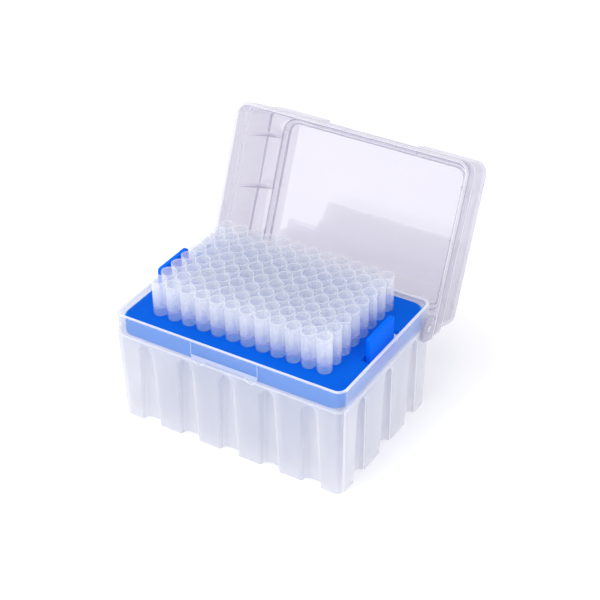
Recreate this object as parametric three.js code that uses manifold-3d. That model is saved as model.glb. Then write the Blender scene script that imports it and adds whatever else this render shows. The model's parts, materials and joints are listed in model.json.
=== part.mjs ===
// Hinged-lid rack box of pipette tips: a ribbed tub, a lift-out rack with two spring tabs,
// a lid that swings on two moulded pins, and an 8 by 12 field of tips.
// Millimetres, +Z up, +X to the right along the front, +Y to the back.

import * as THREE from 'three';
import { mergeVertices } from 'three/addons/utils/BufferGeometryUtils.js';
import Module from 'manifold-3d';

const wasm = await Module();
wasm.setup();

// ---------------------------------------------------------------- driving dimensions

const WALL = 1.5;
const GAP = 0.3;

// tub, measured from its own centre; the rim band is the part that the lid's skirt covers
const BAND_HALF_X = 68.8;
const BAND_HALF_Y = 47.2;
const BAND_RADIUS = 5;
const RIM_Z = 65.6;
const LEDGE_Z = 53.3;
const LEDGE_STEP = 0.3;
const FOOT_INSET = 1.1;
const FLOOR_Z = 10;
const FLOOR_THICKNESS = 1.5;

// stiffening grooves of the tub's walls
const FRONT_GROOVES = 5;
const FRONT_GROOVE_PITCH = 24.9;
const SIDE_GROOVES = 3;
const SIDE_GROOVE_PITCH = 27.8;
const GROOVE_FOOT_HALF = 5.65;
const GROOVE_HEAD_HALF = 4.2;
const GROOVE_SHOULDER_Z = 46;
const GROOVE_TOP_Z = 51.5;
const GROOVE_DEPTH = 5.2;

// front catch: a lip with a half-round finger scallop under each end
const CATCH_HALF_X = 20;
const CATCH_LOW_Z = 55.3;
const CATCH_TOP_Z = 57.7;
const CATCH_PROUD = 0.4;
const SCALLOP_X = 15.6;
const SCALLOP_RADIUS = 3.6;

// hinge
const PIVOT_Y = 40.1;
const PIVOT_Z = 52.4;
const PIN_RADIUS = 2.2;
const PIN_HOLE_RADIUS = 2.6;
const EAR_RADIUS = 7.8;
const EAR_FRONT = 6.6;
const SWING_CLEARANCE_RADIUS = 15.3;
const OPEN_ANGLE = 112;

// lid, in its closed place
const LID_EDGE_Z = 58.6;
const LID_STEP_Z = 69.6;
const LID_ROOF_Z = 92.6;
const LID_SKIRT_HALF = [71.3, 49.3];
const LID_SKIRT_TOP_HALF = [70.9, 48.5];
const LID_BODY_HALF = [69.9, 47];
const LID_ROOF_HALF = [68.6, 46.4];
const LID_RADIUS = 7;
const EAR_INNER_X = 69.6;
const BOSS_HALF = [56.2, 39.5];
const BOSS_HEIGHT = 5.5;
const BOSS_RADIUS = 6;
const GUSSET_Y = 30;
const GUSSET_THICKNESS = 1.2;
const THUMB_HALF_X = 30;
const THUMB_DEPTH = 2.6;
const THUMB_LOW_Z = 80;

// rack
const PITCH = 9;
const COLUMNS = 12;
const ROWS = 8;
const DECK_Z = 63.5;
const DECK_THICKNESS = 2;
const DECK_CLEARANCE = 0.4;
const DECK_RADIUS = 8;
const SKIRT_LOW_Z = 53.2;
const SKIRT_WALL = 1.3;
const RACK_HOLE_RADIUS = 3.9;
const RACK_HOLE_SIDES = 6;
const LATTICE_LOW_Z = 57;
const LATTICE_HALF = [54.6, 36.6];
const LATTICE_RADIUS = 4.6;
const LATTICE_POCKET_HALF = 1.6;

// spring tabs of the rack
const TAB_HALF_Y = 12.7;
const TAB_TOP_Z = 75.2;
const TAB_FOOT_Z = 57;
const TAB_INNER_X = 62.1;
const TAB_OUTER_X = 64.6;
const TAB_SLOT_HALF_Y = 15.6;
const TAB_SLOT_INNER_X = 61;
const TAB_CORNER = 1.6;

// tips
const TIP_TOP_Z = 84.2;
const TIP_LENGTH = 72;
const TIP_MOUTH_RADIUS = 4.2;
const TIP_MOUTH_BORE = 3.75;
const TIP_SHOULDER_RADIUS = 4.1;
const TIP_NECK_RADIUS = 3.3;
const TIP_POINT_RADIUS = 0.65;
const TIP_POINT_BORE = 0.3;
const FRONT_TIP_SIDES = 10;
const ROW_TIP_SIDES = 6;
const WEB_THICKNESS = 0.7;

// ---------------------------------------------------------------- materials

function plastic(name, color, roughness) {
  return new THREE.MeshStandardMaterial({ name, color, roughness, metalness: 0 });
}

const clearPlastic = () => plastic('clear_polypropylene', 0xdcdcee, 0.35);
const lidPlastic = () => plastic('clear_lid', 0xeceaf6, 0.2);
const bluePlastic = () => plastic('blue_polypropylene', 0x0a5feb, 0.4);
const tipPlastic = () => plastic('tip_polypropylene', 0xd6e0f2, 0.25);

// ---------------------------------------------------------------- solids

function toSolid(geometry) {
  const bare = geometry.clone();
  bare.deleteAttribute('normal');
  bare.deleteAttribute('uv');
  const merged = mergeVertices(bare, 1e-4);
  return new wasm.Manifold(new wasm.Mesh({
    numProp: 3,
    vertProperties: new Float32Array(merged.attributes.position.array),
    triVerts: new Uint32Array(merged.index.array),
  }));
}

function toGeometry(solid) {
  const mesh = solid.getMesh();
  const geometry = new THREE.BufferGeometry();
  geometry.setAttribute('position', new THREE.BufferAttribute(mesh.vertProperties, 3));
  geometry.setIndex(new THREE.BufferAttribute(mesh.triVerts, 1));
  geometry.computeVertexNormals();
  return geometry;
}

const join = (solids) => solids.reduce((whole, piece) => whole.add(piece));
const cut = (solid, tools) => tools.reduce((rest, tool) => rest.subtract(tool), solid);

function box(x0, x1, y0, y1, z0, z1) {
  const geometry = new THREE.BoxGeometry(x1 - x0, y1 - y0, z1 - z0);
  geometry.translate((x0 + x1) / 2, (y0 + y1) / 2, (z0 + z1) / 2);
  return toSolid(geometry);
}

function roundedRectangle(halfX, halfY, radius) {
  const shape = new THREE.Shape();
  shape.absarc(halfX - radius, halfY - radius, radius, 0, Math.PI / 2);
  shape.absarc(radius - halfX, halfY - radius, radius, Math.PI / 2, Math.PI);
  shape.absarc(radius - halfX, radius - halfY, radius, Math.PI, 1.5 * Math.PI);
  shape.absarc(halfX - radius, radius - halfY, radius, 1.5 * Math.PI, 2 * Math.PI);
  return shape;
}

// upright block with rounded corners whose walls lean in or out between its two ends
function block(foot, head, z0, z1, radius, curveSegments = 4) {
  const shape = roundedRectangle(foot[0], foot[1], radius);
  const geometry = new THREE.ExtrudeGeometry(shape, { depth: z1 - z0, bevelEnabled: false, curveSegments });
  const position = geometry.attributes.position;
  for (let i = 0; i < position.count; i += 1) {
    if (position.getZ(i) > 0) {
      const x = position.getX(i);
      const y = position.getY(i);
      position.setX(i, x + Math.sign(x) * (head[0] - foot[0]));
      position.setY(i, y + Math.sign(y) * (head[1] - foot[1]));
    }
  }
  geometry.translate(0, 0, z0);
  return toSolid(geometry);
}

function prism(shape, depth, place, curveSegments = 4) {
  const geometry = new THREE.ExtrudeGeometry(shape, { depth, bevelEnabled: false, curveSegments });
  place(geometry);
  return toSolid(geometry);
}

// cylinder along X between two planes
function rodAlongX(radius, x0, x1, y, z, sides) {
  const geometry = new THREE.CylinderGeometry(radius, radius, x1 - x0, sides);
  geometry.rotateZ(Math.PI / 2);
  geometry.translate((x0 + x1) / 2, y, z);
  return toSolid(geometry);
}

const inOrder = (a, b) => [Math.min(a, b), Math.max(a, b)];

const centred = (count, pitch) => Array.from({ length: count }, (_, i) => (i - (count - 1) / 2) * pitch);

// ---------------------------------------------------------------- tub

// arched groove that opens on the foot; grow makes the bulge it leaves inside the tub
function grooveShape(grow) {
  const shape = new THREE.Shape();
  const head = GROOVE_HEAD_HALF + grow;
  const foot = GROOVE_FOOT_HALF + grow;
  shape.moveTo(-foot, -1);
  shape.lineTo(foot, -1);
  shape.lineTo(head, GROOVE_SHOULDER_Z);
  shape.absellipse(0, GROOVE_SHOULDER_Z, head, GROOVE_TOP_Z + grow - GROOVE_SHOULDER_Z, 0, Math.PI);
  shape.lineTo(-foot, -1);
  return shape;
}

function grooves(grow) {
  const shape = grooveShape(grow);
  const reach = GROOVE_DEPTH + 4 + grow;
  const cutter = (angle, wall, along) => prism(shape, reach, (geometry) => {
    geometry.rotateX(Math.PI / 2);
    geometry.translate(along, GROOVE_DEPTH + grow - wall, 0);
    geometry.rotateZ(angle);
  }, 3);
  const tools = [];
  for (const along of centred(FRONT_GROOVES, FRONT_GROOVE_PITCH)) {
    tools.push(cutter(0, BAND_HALF_Y, along), cutter(Math.PI, BAND_HALF_Y, along));
  }
  for (const along of centred(SIDE_GROOVES, SIDE_GROOVE_PITCH)) {
    tools.push(cutter(Math.PI / 2, BAND_HALF_X, along), cutter(-Math.PI / 2, BAND_HALF_X, along));
  }
  return tools;
}

function tubBlock(inset, z0, z1) {
  const foot = [BAND_HALF_X - FOOT_INSET - inset, BAND_HALF_Y - FOOT_INSET - inset];
  const head = [BAND_HALF_X + LEDGE_STEP - inset, BAND_HALF_Y + LEDGE_STEP - inset];
  return block(foot, head, z0, z1, BAND_RADIUS - inset / 2);
}

function tub() {
  const band = [BAND_HALF_X, BAND_HALF_Y];
  const bandInside = band.map((half) => half - WALL);
  let outside = cut(tubBlock(0, 0, LEDGE_Z), grooves(0));
  outside = outside.add(block(band, band, LEDGE_Z - 1, RIM_Z, BAND_RADIUS));

  const below = FLOOR_Z - FLOOR_THICKNESS;
  const hollow = cut(tubBlock(WALL, -1, LEDGE_Z + 1), grooves(WALL));
  const well = hollow.intersect(box(-80, 80, -60, 60, FLOOR_Z, LEDGE_Z + 2));
  const underside = hollow.intersect(box(-80, 80, -60, 60, -2, below));
  const mouth = block(bandInside, bandInside, GROOVE_TOP_Z + WALL, RIM_Z + 1, BAND_RADIUS - WALL / 2);

  const catchFace = -BAND_HALF_Y - CATCH_PROUD;
  const lip = box(-CATCH_HALF_X, CATCH_HALF_X, catchFace, -BAND_HALF_Y + 0.5, CATCH_LOW_Z, CATCH_TOP_Z);
  const scallop = new THREE.Shape();
  scallop.absarc(0, 0, SCALLOP_RADIUS, Math.PI, 2 * Math.PI);
  const scallops = [-SCALLOP_X, SCALLOP_X].map((x) => prism(scallop, CATCH_PROUD + 0.5, (geometry) => {
    geometry.rotateX(Math.PI / 2);
    geometry.translate(x, -BAND_HALF_Y + 0.5, CATCH_LOW_Z + 0.2);
  }));

  const shell = cut(join([outside, lip, ...scallops]), [well, underside, mouth]);
  const pins = [-1, 1].map((side) => {
    const [low, high] = inOrder(side * (BAND_HALF_X - WALL / 2), side * (LID_SKIRT_HALF[0] - GAP));
    return rodAlongX(PIN_RADIUS, low, high, PIVOT_Y, PIVOT_Z, 16);
  });
  return join([shell, ...pins]);
}

// ---------------------------------------------------------------- lid

// tapered body above the skirt, between two heights
function lidBody(inset, z0, z1) {
  const halves = (z) => LID_BODY_HALF.map((half, axis) => {
    const slope = (half - LID_ROOF_HALF[axis]) / (LID_ROOF_Z - LID_STEP_Z);
    return half - inset - slope * (z - LID_STEP_Z);
  });
  return block(halves(z0), halves(z1), z0, z1, LID_RADIUS - inset / 2);
}

// side arm that reaches down past the pivot, on the outside of the tub
function ear(side) {
  const [low, high] = inOrder(side * EAR_INNER_X, side * LID_SKIRT_HALF[0]);
  const disc = rodAlongX(EAR_RADIUS, low, high, PIVOT_Y, PIVOT_Z, 20);
  const arm = box(low, high, PIVOT_Y - EAR_FRONT, PIVOT_Y + EAR_FRONT, PIVOT_Z, LID_EDGE_Z + 1);
  return disc.intersect(box(low, high, 0, 80, 0, PIVOT_Z + 1)).add(arm);
}

function gusset(side, y) {
  const [wallX, roofX] = [LID_BODY_HALF[0], LID_ROOF_HALF[0]].map((half) => half - WALL / 2);
  const shape = new THREE.Shape();
  shape.moveTo(wallX, LID_STEP_Z);
  shape.lineTo(roofX, LID_ROOF_Z - WALL / 2);
  shape.lineTo(BOSS_HALF[0], LID_ROOF_Z - WALL / 2);
  shape.lineTo(BOSS_HALF[0], LID_ROOF_Z - WALL - 1);
  return prism(shape, GUSSET_THICKNESS, (geometry) => {
    geometry.rotateX(Math.PI / 2);
    geometry.translate(0, GUSSET_THICKNESS / 2 + y, 0);
    if (side < 0) geometry.rotateZ(Math.PI);
  });
}

function lid() {
  const skirtInside = [EAR_INNER_X, LID_SKIRT_HALF[1] - WALL];
  const insideStep = RIM_Z + GAP;
  const boss = BOSS_HALF.map((half) => half + WALL);
  const bossTop = LID_ROOF_Z + BOSS_HEIGHT;

  const outside = join([
    block(LID_SKIRT_HALF, LID_SKIRT_TOP_HALF, LID_EDGE_Z, LID_STEP_Z, LID_RADIUS),
    lidBody(0, LID_STEP_Z - 1, LID_ROOF_Z),
    block(boss, boss, LID_ROOF_Z - 1, bossTop, BOSS_RADIUS + WALL),
    ear(-1),
    ear(1),
  ]);
  const hollow = join([
    block(skirtInside, skirtInside, LID_EDGE_Z - 1, insideStep, LID_RADIUS - WALL / 2),
    lidBody(WALL, insideStep - 1, LID_ROOF_Z - WALL),
    block(BOSS_HALF, BOSS_HALF, LID_ROOF_Z - WALL - 1, bossTop - WALL, BOSS_RADIUS),
  ]);
  const thumbFace = LID_BODY_HALF[1] - THUMB_DEPTH;
  const thumb = box(-THUMB_HALF_X, THUMB_HALF_X, -60, -thumbFace, THUMB_LOW_Z, LID_ROOF_Z + 1);
  const thumbHalf = THUMB_HALF_X + WALL;
  const thumbWall = box(-thumbHalf, thumbHalf, -60, WALL - thumbFace, THUMB_LOW_Z - WALL, LID_ROOF_Z)
    .intersect(lidBody(WALL / 2, LID_STEP_Z, LID_ROOF_Z - WALL / 2));
  const ribs = [-1, 1].flatMap((side) => [-GUSSET_Y, 0, GUSSET_Y].map((y) => gusset(side, y)));
  const shell = join([cut(outside, [hollow]), thumbWall, ...ribs]);

  // the tub's back rim and corners pass through here as the lid swings
  const swingRoom = rodAlongX(SWING_CLEARANCE_RADIUS, -EAR_INNER_X, EAR_INNER_X, PIVOT_Y, PIVOT_Z, 32);
  const pinHole = rodAlongX(PIN_HOLE_RADIUS, -80, 80, PIVOT_Y, PIVOT_Z, 16);
  return cut(shell, [thumb, swingRoom, pinHole]);
}

// ---------------------------------------------------------------- rack

const columnX = centred(COLUMNS, PITCH);
const rowY = centred(ROWS, PITCH);

function cellHole(x, y) {
  const geometry = new THREE.CylinderGeometry(RACK_HOLE_RADIUS, RACK_HOLE_RADIUS, 16, RACK_HOLE_SIDES);
  geometry.rotateX(Math.PI / 2);
  geometry.translate(x, y, DECK_Z);
  return toSolid(geometry);
}

// ribs under the deck that carry the holes further down, hollowed between every four holes
function lattice() {
  const half = LATTICE_POCKET_HALF;
  const whole = block(LATTICE_HALF, LATTICE_HALF, LATTICE_LOW_Z, DECK_Z - DECK_THICKNESS / 2, LATTICE_RADIUS);
  const pockets = columnX.slice(1).flatMap((right) => rowY.slice(1).map((behind) => {
    const x = right - PITCH / 2;
    const y = behind - PITCH / 2;
    return box(x - half, x + half, y - half, y + half, LATTICE_LOW_Z - 1, DECK_Z - DECK_THICKNESS);
  }));
  return cut(whole, pockets);
}

function rack() {
  const edge = [BAND_HALF_X - WALL - DECK_CLEARANCE, BAND_HALF_Y - WALL - DECK_CLEARANCE];
  const bevelled = edge.map((half) => half - 2.4);
  const inner = edge.map((half) => half - SKIRT_WALL);
  const bevelLow = DECK_Z - 1.1;
  const body = block(edge, edge, SKIRT_LOW_Z, bevelLow, DECK_RADIUS).add(
    block(edge, bevelled, bevelLow, DECK_Z, DECK_RADIUS),
  );
  const inside = block(inner, inner, SKIRT_LOW_Z - 1, DECK_Z - DECK_THICKNESS, DECK_RADIUS - SKIRT_WALL);
  const holes = join(columnX.flatMap((x) => rowY.map((y) => cellHole(x, y))));
  const slots = [-1, 1].map((side) => {
    const [low, high] = inOrder(side * TAB_SLOT_INNER_X, side * BAND_HALF_X);
    return box(low, high, -TAB_SLOT_HALF_Y, TAB_SLOT_HALF_Y, TAB_FOOT_Z - GAP, DECK_Z + 1);
  });
  const footings = [-1, 1].map((side) => {
    const [low, high] = inOrder(side * TAB_SLOT_INNER_X, side * (edge[0] - SKIRT_WALL / 2));
    return box(low, high, -TAB_SLOT_HALF_Y, TAB_SLOT_HALF_Y, SKIRT_LOW_Z, TAB_FOOT_Z - GAP);
  });
  const slotEdges = [-1, 1].map((side) => {
    const [low, high] = inOrder(side * (TAB_SLOT_INNER_X - SKIRT_WALL), side * TAB_SLOT_INNER_X);
    return box(low, high, -TAB_SLOT_HALF_Y, TAB_SLOT_HALF_Y, SKIRT_LOW_Z, DECK_Z - DECK_THICKNESS / 2);
  });
  const deck = join([cut(body, [inside, ...slots]), lattice()]);
  return join([cut(deck, [holes]), ...footings, ...slotEdges]);
}

function tab(side) {
  const shape = new THREE.Shape();
  shape.moveTo(-TAB_HALF_Y, TAB_FOOT_Z);
  shape.lineTo(TAB_HALF_Y, TAB_FOOT_Z);
  shape.lineTo(TAB_HALF_Y, TAB_TOP_Z - TAB_CORNER);
  shape.absarc(TAB_HALF_Y - TAB_CORNER, TAB_TOP_Z - TAB_CORNER, TAB_CORNER, 0, Math.PI / 2);
  shape.absarc(TAB_CORNER - TAB_HALF_Y, TAB_TOP_Z - TAB_CORNER, TAB_CORNER, Math.PI / 2, Math.PI);
  return prism(shape, TAB_OUTER_X - TAB_INNER_X, (geometry) => {
    geometry.rotateX(Math.PI / 2);
    geometry.rotateZ(Math.PI / 2);
    geometry.translate(side > 0 ? TAB_INNER_X : -TAB_OUTER_X, 0, 0);
  });
}

// ---------------------------------------------------------------- tips

// one hollow tip that hangs by the shoulder under its barrel
function tip(x, y, sides) {
  const shoulder = DECK_Z + GAP - TIP_TOP_Z;
  const profile = [
    [TIP_POINT_BORE, -TIP_LENGTH],
    [TIP_POINT_RADIUS, -TIP_LENGTH],
    [TIP_NECK_RADIUS, shoulder],
    [TIP_SHOULDER_RADIUS, shoulder],
    [TIP_MOUTH_RADIUS, 0],
    [TIP_MOUTH_BORE, 0],
    [TIP_POINT_BORE, -TIP_LENGTH],
  ].map(([radius, z]) => new THREE.Vector2(radius, z));
  const geometry = new THREE.LatheGeometry(profile, sides);
  geometry.rotateX(Math.PI / 2);
  geometry.rotateZ(sides % 4 === 2 ? Math.PI / 2 : 0);
  geometry.translate(x, y, TIP_TOP_Z);
  return toSolid(geometry);
}

// twelve tips in a line, held to one another by short webs just above the deck
function tipRow(y) {
  const z = DECK_Z + GAP;
  const half = WEB_THICKNESS / 2;
  const reach = 0.75;
  const webs = columnX.slice(1).map((x) => {
    const middle = x - PITCH / 2;
    return box(middle - reach, middle + reach, y - half, y + half, z + 1, z + 1 + WEB_THICKNESS);
  });
  return join([...columnX.map((x) => tip(x, y, ROW_TIP_SIDES)), ...webs]);
}

// ---------------------------------------------------------------- assembly

const tipBox = new THREE.Group();

function place(name, solid, material, parent = tipBox) {
  const mesh = new THREE.Mesh(toGeometry(solid), material);
  mesh.name = name;
  parent.add(mesh);
  return mesh;
}

place('base_tub', tub(), clearPlastic());

// the lid is built closed and swings back about its pivot line to its open stop
const hinge = new THREE.Group();
hinge.position.set(0, PIVOT_Y, PIVOT_Z);
hinge.rotation.x = -THREE.MathUtils.degToRad(OPEN_ANGLE);
tipBox.add(hinge);
const lidMesh = place('lid', lid(), lidPlastic(), hinge);
lidMesh.position.set(0, -PIVOT_Y, -PIVOT_Z);

place('tip_rack', rack(), bluePlastic());
place('rack_tab_left', tab(-1), bluePlastic());
place('rack_tab_right', tab(1), bluePlastic());

const twoDigits = (number) => String(number).padStart(2, '0');
columnX.forEach((x, i) => {
  place(`front_tip_${twoDigits(i + 1)}`, tip(x, rowY[0], FRONT_TIP_SIDES), tipPlastic());
});
rowY.slice(1).forEach((y, j) => {
  place(`tip_row_${j + 2}`, tipRow(y), tipPlastic());
});

// origin: the middle of the open box's footprint, on the surface it stands on
tipBox.updateMatrixWorld(true);
const extent = new THREE.Box3().setFromObject(tipBox, true);
const centre = extent.getCenter(new THREE.Vector3());
tipBox.position.set(-centre.x, -centre.y, -extent.min.z);
tipBox.updateMatrixWorld(true);

export default tipBox;
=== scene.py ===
"""Hinged-lid rack box of pipette tips, open: ribbed tub, clear lid, blue lift-out rack and 96 tips.

Shapes are made in millimetres in the tub's own frame: z from the bench, x and y from the tub's
middle. finished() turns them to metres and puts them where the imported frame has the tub.
"""

import json
import math

import bmesh
import bpy
from mathutils import Matrix, Vector


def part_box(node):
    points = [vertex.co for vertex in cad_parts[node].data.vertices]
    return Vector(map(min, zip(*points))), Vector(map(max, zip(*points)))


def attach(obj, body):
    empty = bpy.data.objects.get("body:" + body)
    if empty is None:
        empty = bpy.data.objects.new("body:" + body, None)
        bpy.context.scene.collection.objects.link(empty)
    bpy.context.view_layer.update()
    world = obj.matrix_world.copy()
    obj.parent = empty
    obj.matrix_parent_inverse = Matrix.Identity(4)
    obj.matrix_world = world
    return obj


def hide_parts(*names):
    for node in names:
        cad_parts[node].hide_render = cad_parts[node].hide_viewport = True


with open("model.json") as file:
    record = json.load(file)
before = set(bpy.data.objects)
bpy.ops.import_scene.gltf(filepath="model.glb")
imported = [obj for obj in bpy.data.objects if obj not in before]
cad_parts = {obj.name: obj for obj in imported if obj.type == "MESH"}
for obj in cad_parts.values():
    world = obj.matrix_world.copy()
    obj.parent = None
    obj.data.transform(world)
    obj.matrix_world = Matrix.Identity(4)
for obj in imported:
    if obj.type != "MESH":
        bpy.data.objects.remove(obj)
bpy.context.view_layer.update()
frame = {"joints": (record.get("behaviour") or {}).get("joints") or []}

# ---------------------------------------------------------------- driving dimensions, in millimetres

WALL = 1.5

BAND_HALF_X = 68.8
BAND_HALF_Y = 47.2
BAND_RADIUS = 5
RIM_Z = 65.6
LEDGE_Z = 53.3
LEDGE_STEP = 0.3
FOOT_INSET = 1.1
FLOOR_Z = 10
FLOOR_THICKNESS = 1.5
EDGE_ROUND = 0.45
CORNER_STEPS = 8

FRONT_GROOVES = 5
FRONT_GROOVE_PITCH = 24.9
SIDE_GROOVES = 3
SIDE_GROOVE_PITCH = 27.8
GROOVE_FOOT_HALF = 5.65
GROOVE_HEAD_HALF = 4.2
GROOVE_SHOULDER_Z = 46
GROOVE_TOP_Z = 51.5
GROOVE_DEPTH = 5.2
GROOVE_DRAFT = 0.35
GROOVE_MARGIN = 0.9

CATCH_HALF_X = 20
CATCH_LOW_Z = 55.3
CATCH_TOP_Z = 57.7
CATCH_PROUD = 0.4
CATCH_ROOT = 0.6
CATCH_LINE_HALF = 0.15
CATCH_SLOT_HALF_X = 11.5
CATCH_SLOT_HEIGHT = 1.1
SCALLOP_X = 15.6
SCALLOP_RADIUS = 3.6
SCALLOP_WALL = 0.7
SCALLOP_THICKNESS = 1

PIN_RADIUS = 2.2
PIN_HOLE_RADIUS = 2.6
EAR_RADIUS = 7.8
EAR_FRONT = 6.6
SWING_CLEARANCE_RADIUS = 15.3
OPEN_ANGLE = 112

LID_EDGE_Z = 58.6
LID_STEP_Z = 69.6
LID_ROOF_Z = 92.6
LID_SKIRT_HALF = (71.3, 49.3)
LID_SKIRT_TOP_HALF = (70.9, 48.5)
LID_BODY_HALF = (69.9, 47)
LID_ROOF_HALF = (68.6, 46.4)
LID_RADIUS = 7
EAR_INNER_X = 69.6
BOSS_HALF = (56.2, 39.5)
BOSS_HEIGHT = 5.5
BOSS_RADIUS = 6
BOSS_EDGE_ROUND = 1.2
BOSS_FOOT_ROUND = 0.8
BOSS_INNER_ROUND = 1.0
ROOF_EDGE_ROUND = 1.4
ROOF_INNER_ROUND = 1.2
STEP_EDGE_ROUND = 0.5
GUSSET_Y = 30
GUSSET_THICKNESS = 1.2
THUMB_HALF_X = 30
THUMB_DEPTH = 2.6
THUMB_LOW_Z = 80

PITCH = 9
COLUMNS = 12
ROWS = 8
DECK_Z = 63.5
DECK_THICKNESS = 2
DECK_CLEARANCE = 0.4
DECK_RADIUS = 8
DECK_BEVEL = 2.4
DECK_BEVEL_DROP = 1.1
SKIRT_LOW_Z = 53.2
SKIRT_WALL = 1.3
RACK_HOLE_RADIUS = 3.45
RACK_HOLE_SIDES = 36
LATTICE_LOW_Z = 57
LATTICE_HALF = (54.6, 36.6)
LATTICE_RADIUS = 4.6
LATTICE_POCKET_HALF = 1.6
LATTICE_POCKET_RADIUS = 0.4

TAB_HALF_Y = 12.7
TAB_TOP_Z = 75.2
TAB_FOOT_Z = 57
TAB_INNER_X = 62.1
TAB_OUTER_X = 64.6
TAB_SLOT_HALF_Y = 15.6
TAB_SLOT_INNER_X = 61
TAB_CORNER = 1.6
TAB_EDGE_ROUND = 0.35

TIP_TOP_Z = 84.2
TIP_LENGTH = 72
TIP_MOUTH_RADIUS = 4.2
TIP_MOUTH_BORE = 3.75
TIP_SHOULDER_RADIUS = 4.05
TIP_NECK_RADIUS = 3.3
TIP_POINT_RADIUS = 0.65
TIP_POINT_BORE = 0.3
TIP_SIDES = 72
TIP_RIBS = 12
TIP_RIB_HEIGHT = 0.18
TIP_CREASE = 50

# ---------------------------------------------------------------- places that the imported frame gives

MM = 0.001
rack_low, rack_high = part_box("tip_rack")
TUB_CENTRE = (rack_low + rack_high) / 2
TUB_CENTRE.z = 0
hinge = next(joint for joint in frame["joints"] if joint["name"] == "lid_hinge")
PIVOT_Y = (hinge["pos_m"][1] - TUB_CENTRE.y) / MM
PIVOT_Z = hinge["pos_m"][2] / MM
PIVOT = Vector((0, PIVOT_Y, PIVOT_Z))
SWING = Matrix.Rotation(-math.radians(OPEN_ANGLE), 4, "X")

# ---------------------------------------------------------------- meshes

def corner_arcs(half_x, half_y, radius, z, steps=8):
    """Rounded rectangle as a ring of points, from the +X side round by +Y."""
    points = []
    for corner, (side_x, side_y) in enumerate(((1, 1), (-1, 1), (-1, -1), (1, -1))):
        for step in range(steps + 1):
            angle = math.pi / 2 * (corner + step / steps)
            x = side_x * (half_x - radius) + radius * math.cos(angle)
            y = side_y * (half_y - radius) + radius * math.sin(angle)
            points.append((x, y, z))
    return points


def loft(bm, rings, caps=True, closed=False):
    """Skin over rings of points, from ring to ring."""
    rows = [[bm.verts.new(point) for point in ring] for ring in rings]
    count = len(rows[0])
    pairs = list(zip(rows, rows[1:]))
    if closed:
        pairs.append((rows[-1], rows[0]))
    for low, high in pairs:
        for i in range(count):
            j = (i + 1) % count
            bm.faces.new((low[i], low[j], high[j], high[i]))
    if caps:
        bm.faces.new(rows[0][::-1])
        bm.faces.new(rows[-1])


def as_object(bm, name):
    """Scratch object in millimetres with the mesh cleaned and its faces pointing out."""
    bmesh.ops.remove_doubles(bm, verts=bm.verts, dist=1e-4)
    bmesh.ops.recalc_face_normals(bm, faces=bm.faces)
    mesh = bpy.data.meshes.new(name)
    bm.to_mesh(mesh)
    bm.free()
    piece = bpy.data.objects.new(name, mesh)
    bpy.context.scene.collection.objects.link(piece)
    return piece


def lofted(name, rings, **options):
    bm = bmesh.new()
    loft(bm, rings, **options)
    return as_object(bm, name)


def slab(x0, x1, y0, y1, z0, z1, round_edge=0.0):
    """Straight block, with its upright edges rounded where round_edge is given."""
    half_x, half_y = (x1 - x0) / 2, (y1 - y0) / 2
    radius = round_edge or 1e-3
    steps = 4 if round_edge else 1
    rings = [corner_arcs(half_x, half_y, radius, z, steps) for z in (z0, z1)]
    moved = [[(x + (x0 + x1) / 2, y + (y0 + y1) / 2, z) for x, y, z in ring] for ring in rings]
    return lofted("slab", moved)


FACING_RIGHT = Matrix(((0, 0, 1), (1, 0, 0), (0, 1, 0))).to_4x4()
FACING_FRONT = Matrix(((1, 0, 0), (0, 0, -1), (0, 1, 0))).to_4x4()


def plate(outline, thickness, turn, place):
    """Flat outline given a thickness along its normal, turned, and moved to its place."""
    rings = [[turn @ Vector((u, v, w)) for u, v in outline] for w in (-thickness / 2, thickness / 2)]
    made = lofted("plate", rings)
    made.data.transform(Matrix.Translation(place))
    return made


def rod_x(radius, x0, x1, y, z, sides=48):
    """Cylinder along X between two planes."""
    rings = []
    for x in (min(x0, x1), max(x0, x1)):
        angles = [2 * math.pi * i / sides for i in range(sides)]
        rings.append([(x, y + radius * math.cos(a), z + radius * math.sin(a)) for a in angles])
    return lofted("rod", rings)


def combine(base, tools, operation):
    """Joins or cuts base with each tool in turn, and removes the tools."""
    for tool in tools:
        modifier = base.modifiers.new("combine", "BOOLEAN")
        modifier.operation = operation
        modifier.solver = "MANIFOLD"
        modifier.object = tool
    graph = bpy.context.evaluated_depsgraph_get()
    mesh = bpy.data.meshes.new_from_object(base.evaluated_get(graph))
    base.modifiers.clear()
    base.data = mesh
    for tool in tools:
        bpy.data.objects.remove(tool)
    return base


def finished(piece, name, body, material, replaced, crease=32):
    """Names a piece, moves it from millimetres to the frame, and gives it its finish and its body.

    Edges that turn by more than crease degrees stay sharp.
    """
    piece.name = name
    piece.data.name = name
    piece.data.transform(Matrix.Translation(TUB_CENTRE) @ Matrix.Scale(MM, 4))
    piece.data.shade_smooth()
    piece.data.set_sharp_from_angle(angle=math.radians(crease))
    piece.data.materials.clear()
    piece.data.materials.append(material)
    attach(piece, body)
    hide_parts(replaced)
    return piece


def centred(count, pitch):
    """Places of a number of things, evenly spaced about 0."""
    return [(i - (count - 1) / 2) * pitch for i in range(count)]


def fillet(radius, steps):
    """Quarter round as (across, down) pairs, from the flat it leaves to the wall it joins."""
    angles = [math.pi / 2 * i / steps for i in range(steps + 1)]
    return [(radius * (1 - math.sin(a)), radius * (1 - math.cos(a))) for a in angles]

# ---------------------------------------------------------------- tub

CATCH_FACE_Y = -BAND_HALF_Y - CATCH_PROUD
ARCH_STEPS = 8
GROOVE_ROW_HEIGHTS = (0, 0.12, EDGE_ROUND, FLOOR_Z - FLOOR_THICKNESS, FLOOR_Z, 22, 34)


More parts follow.
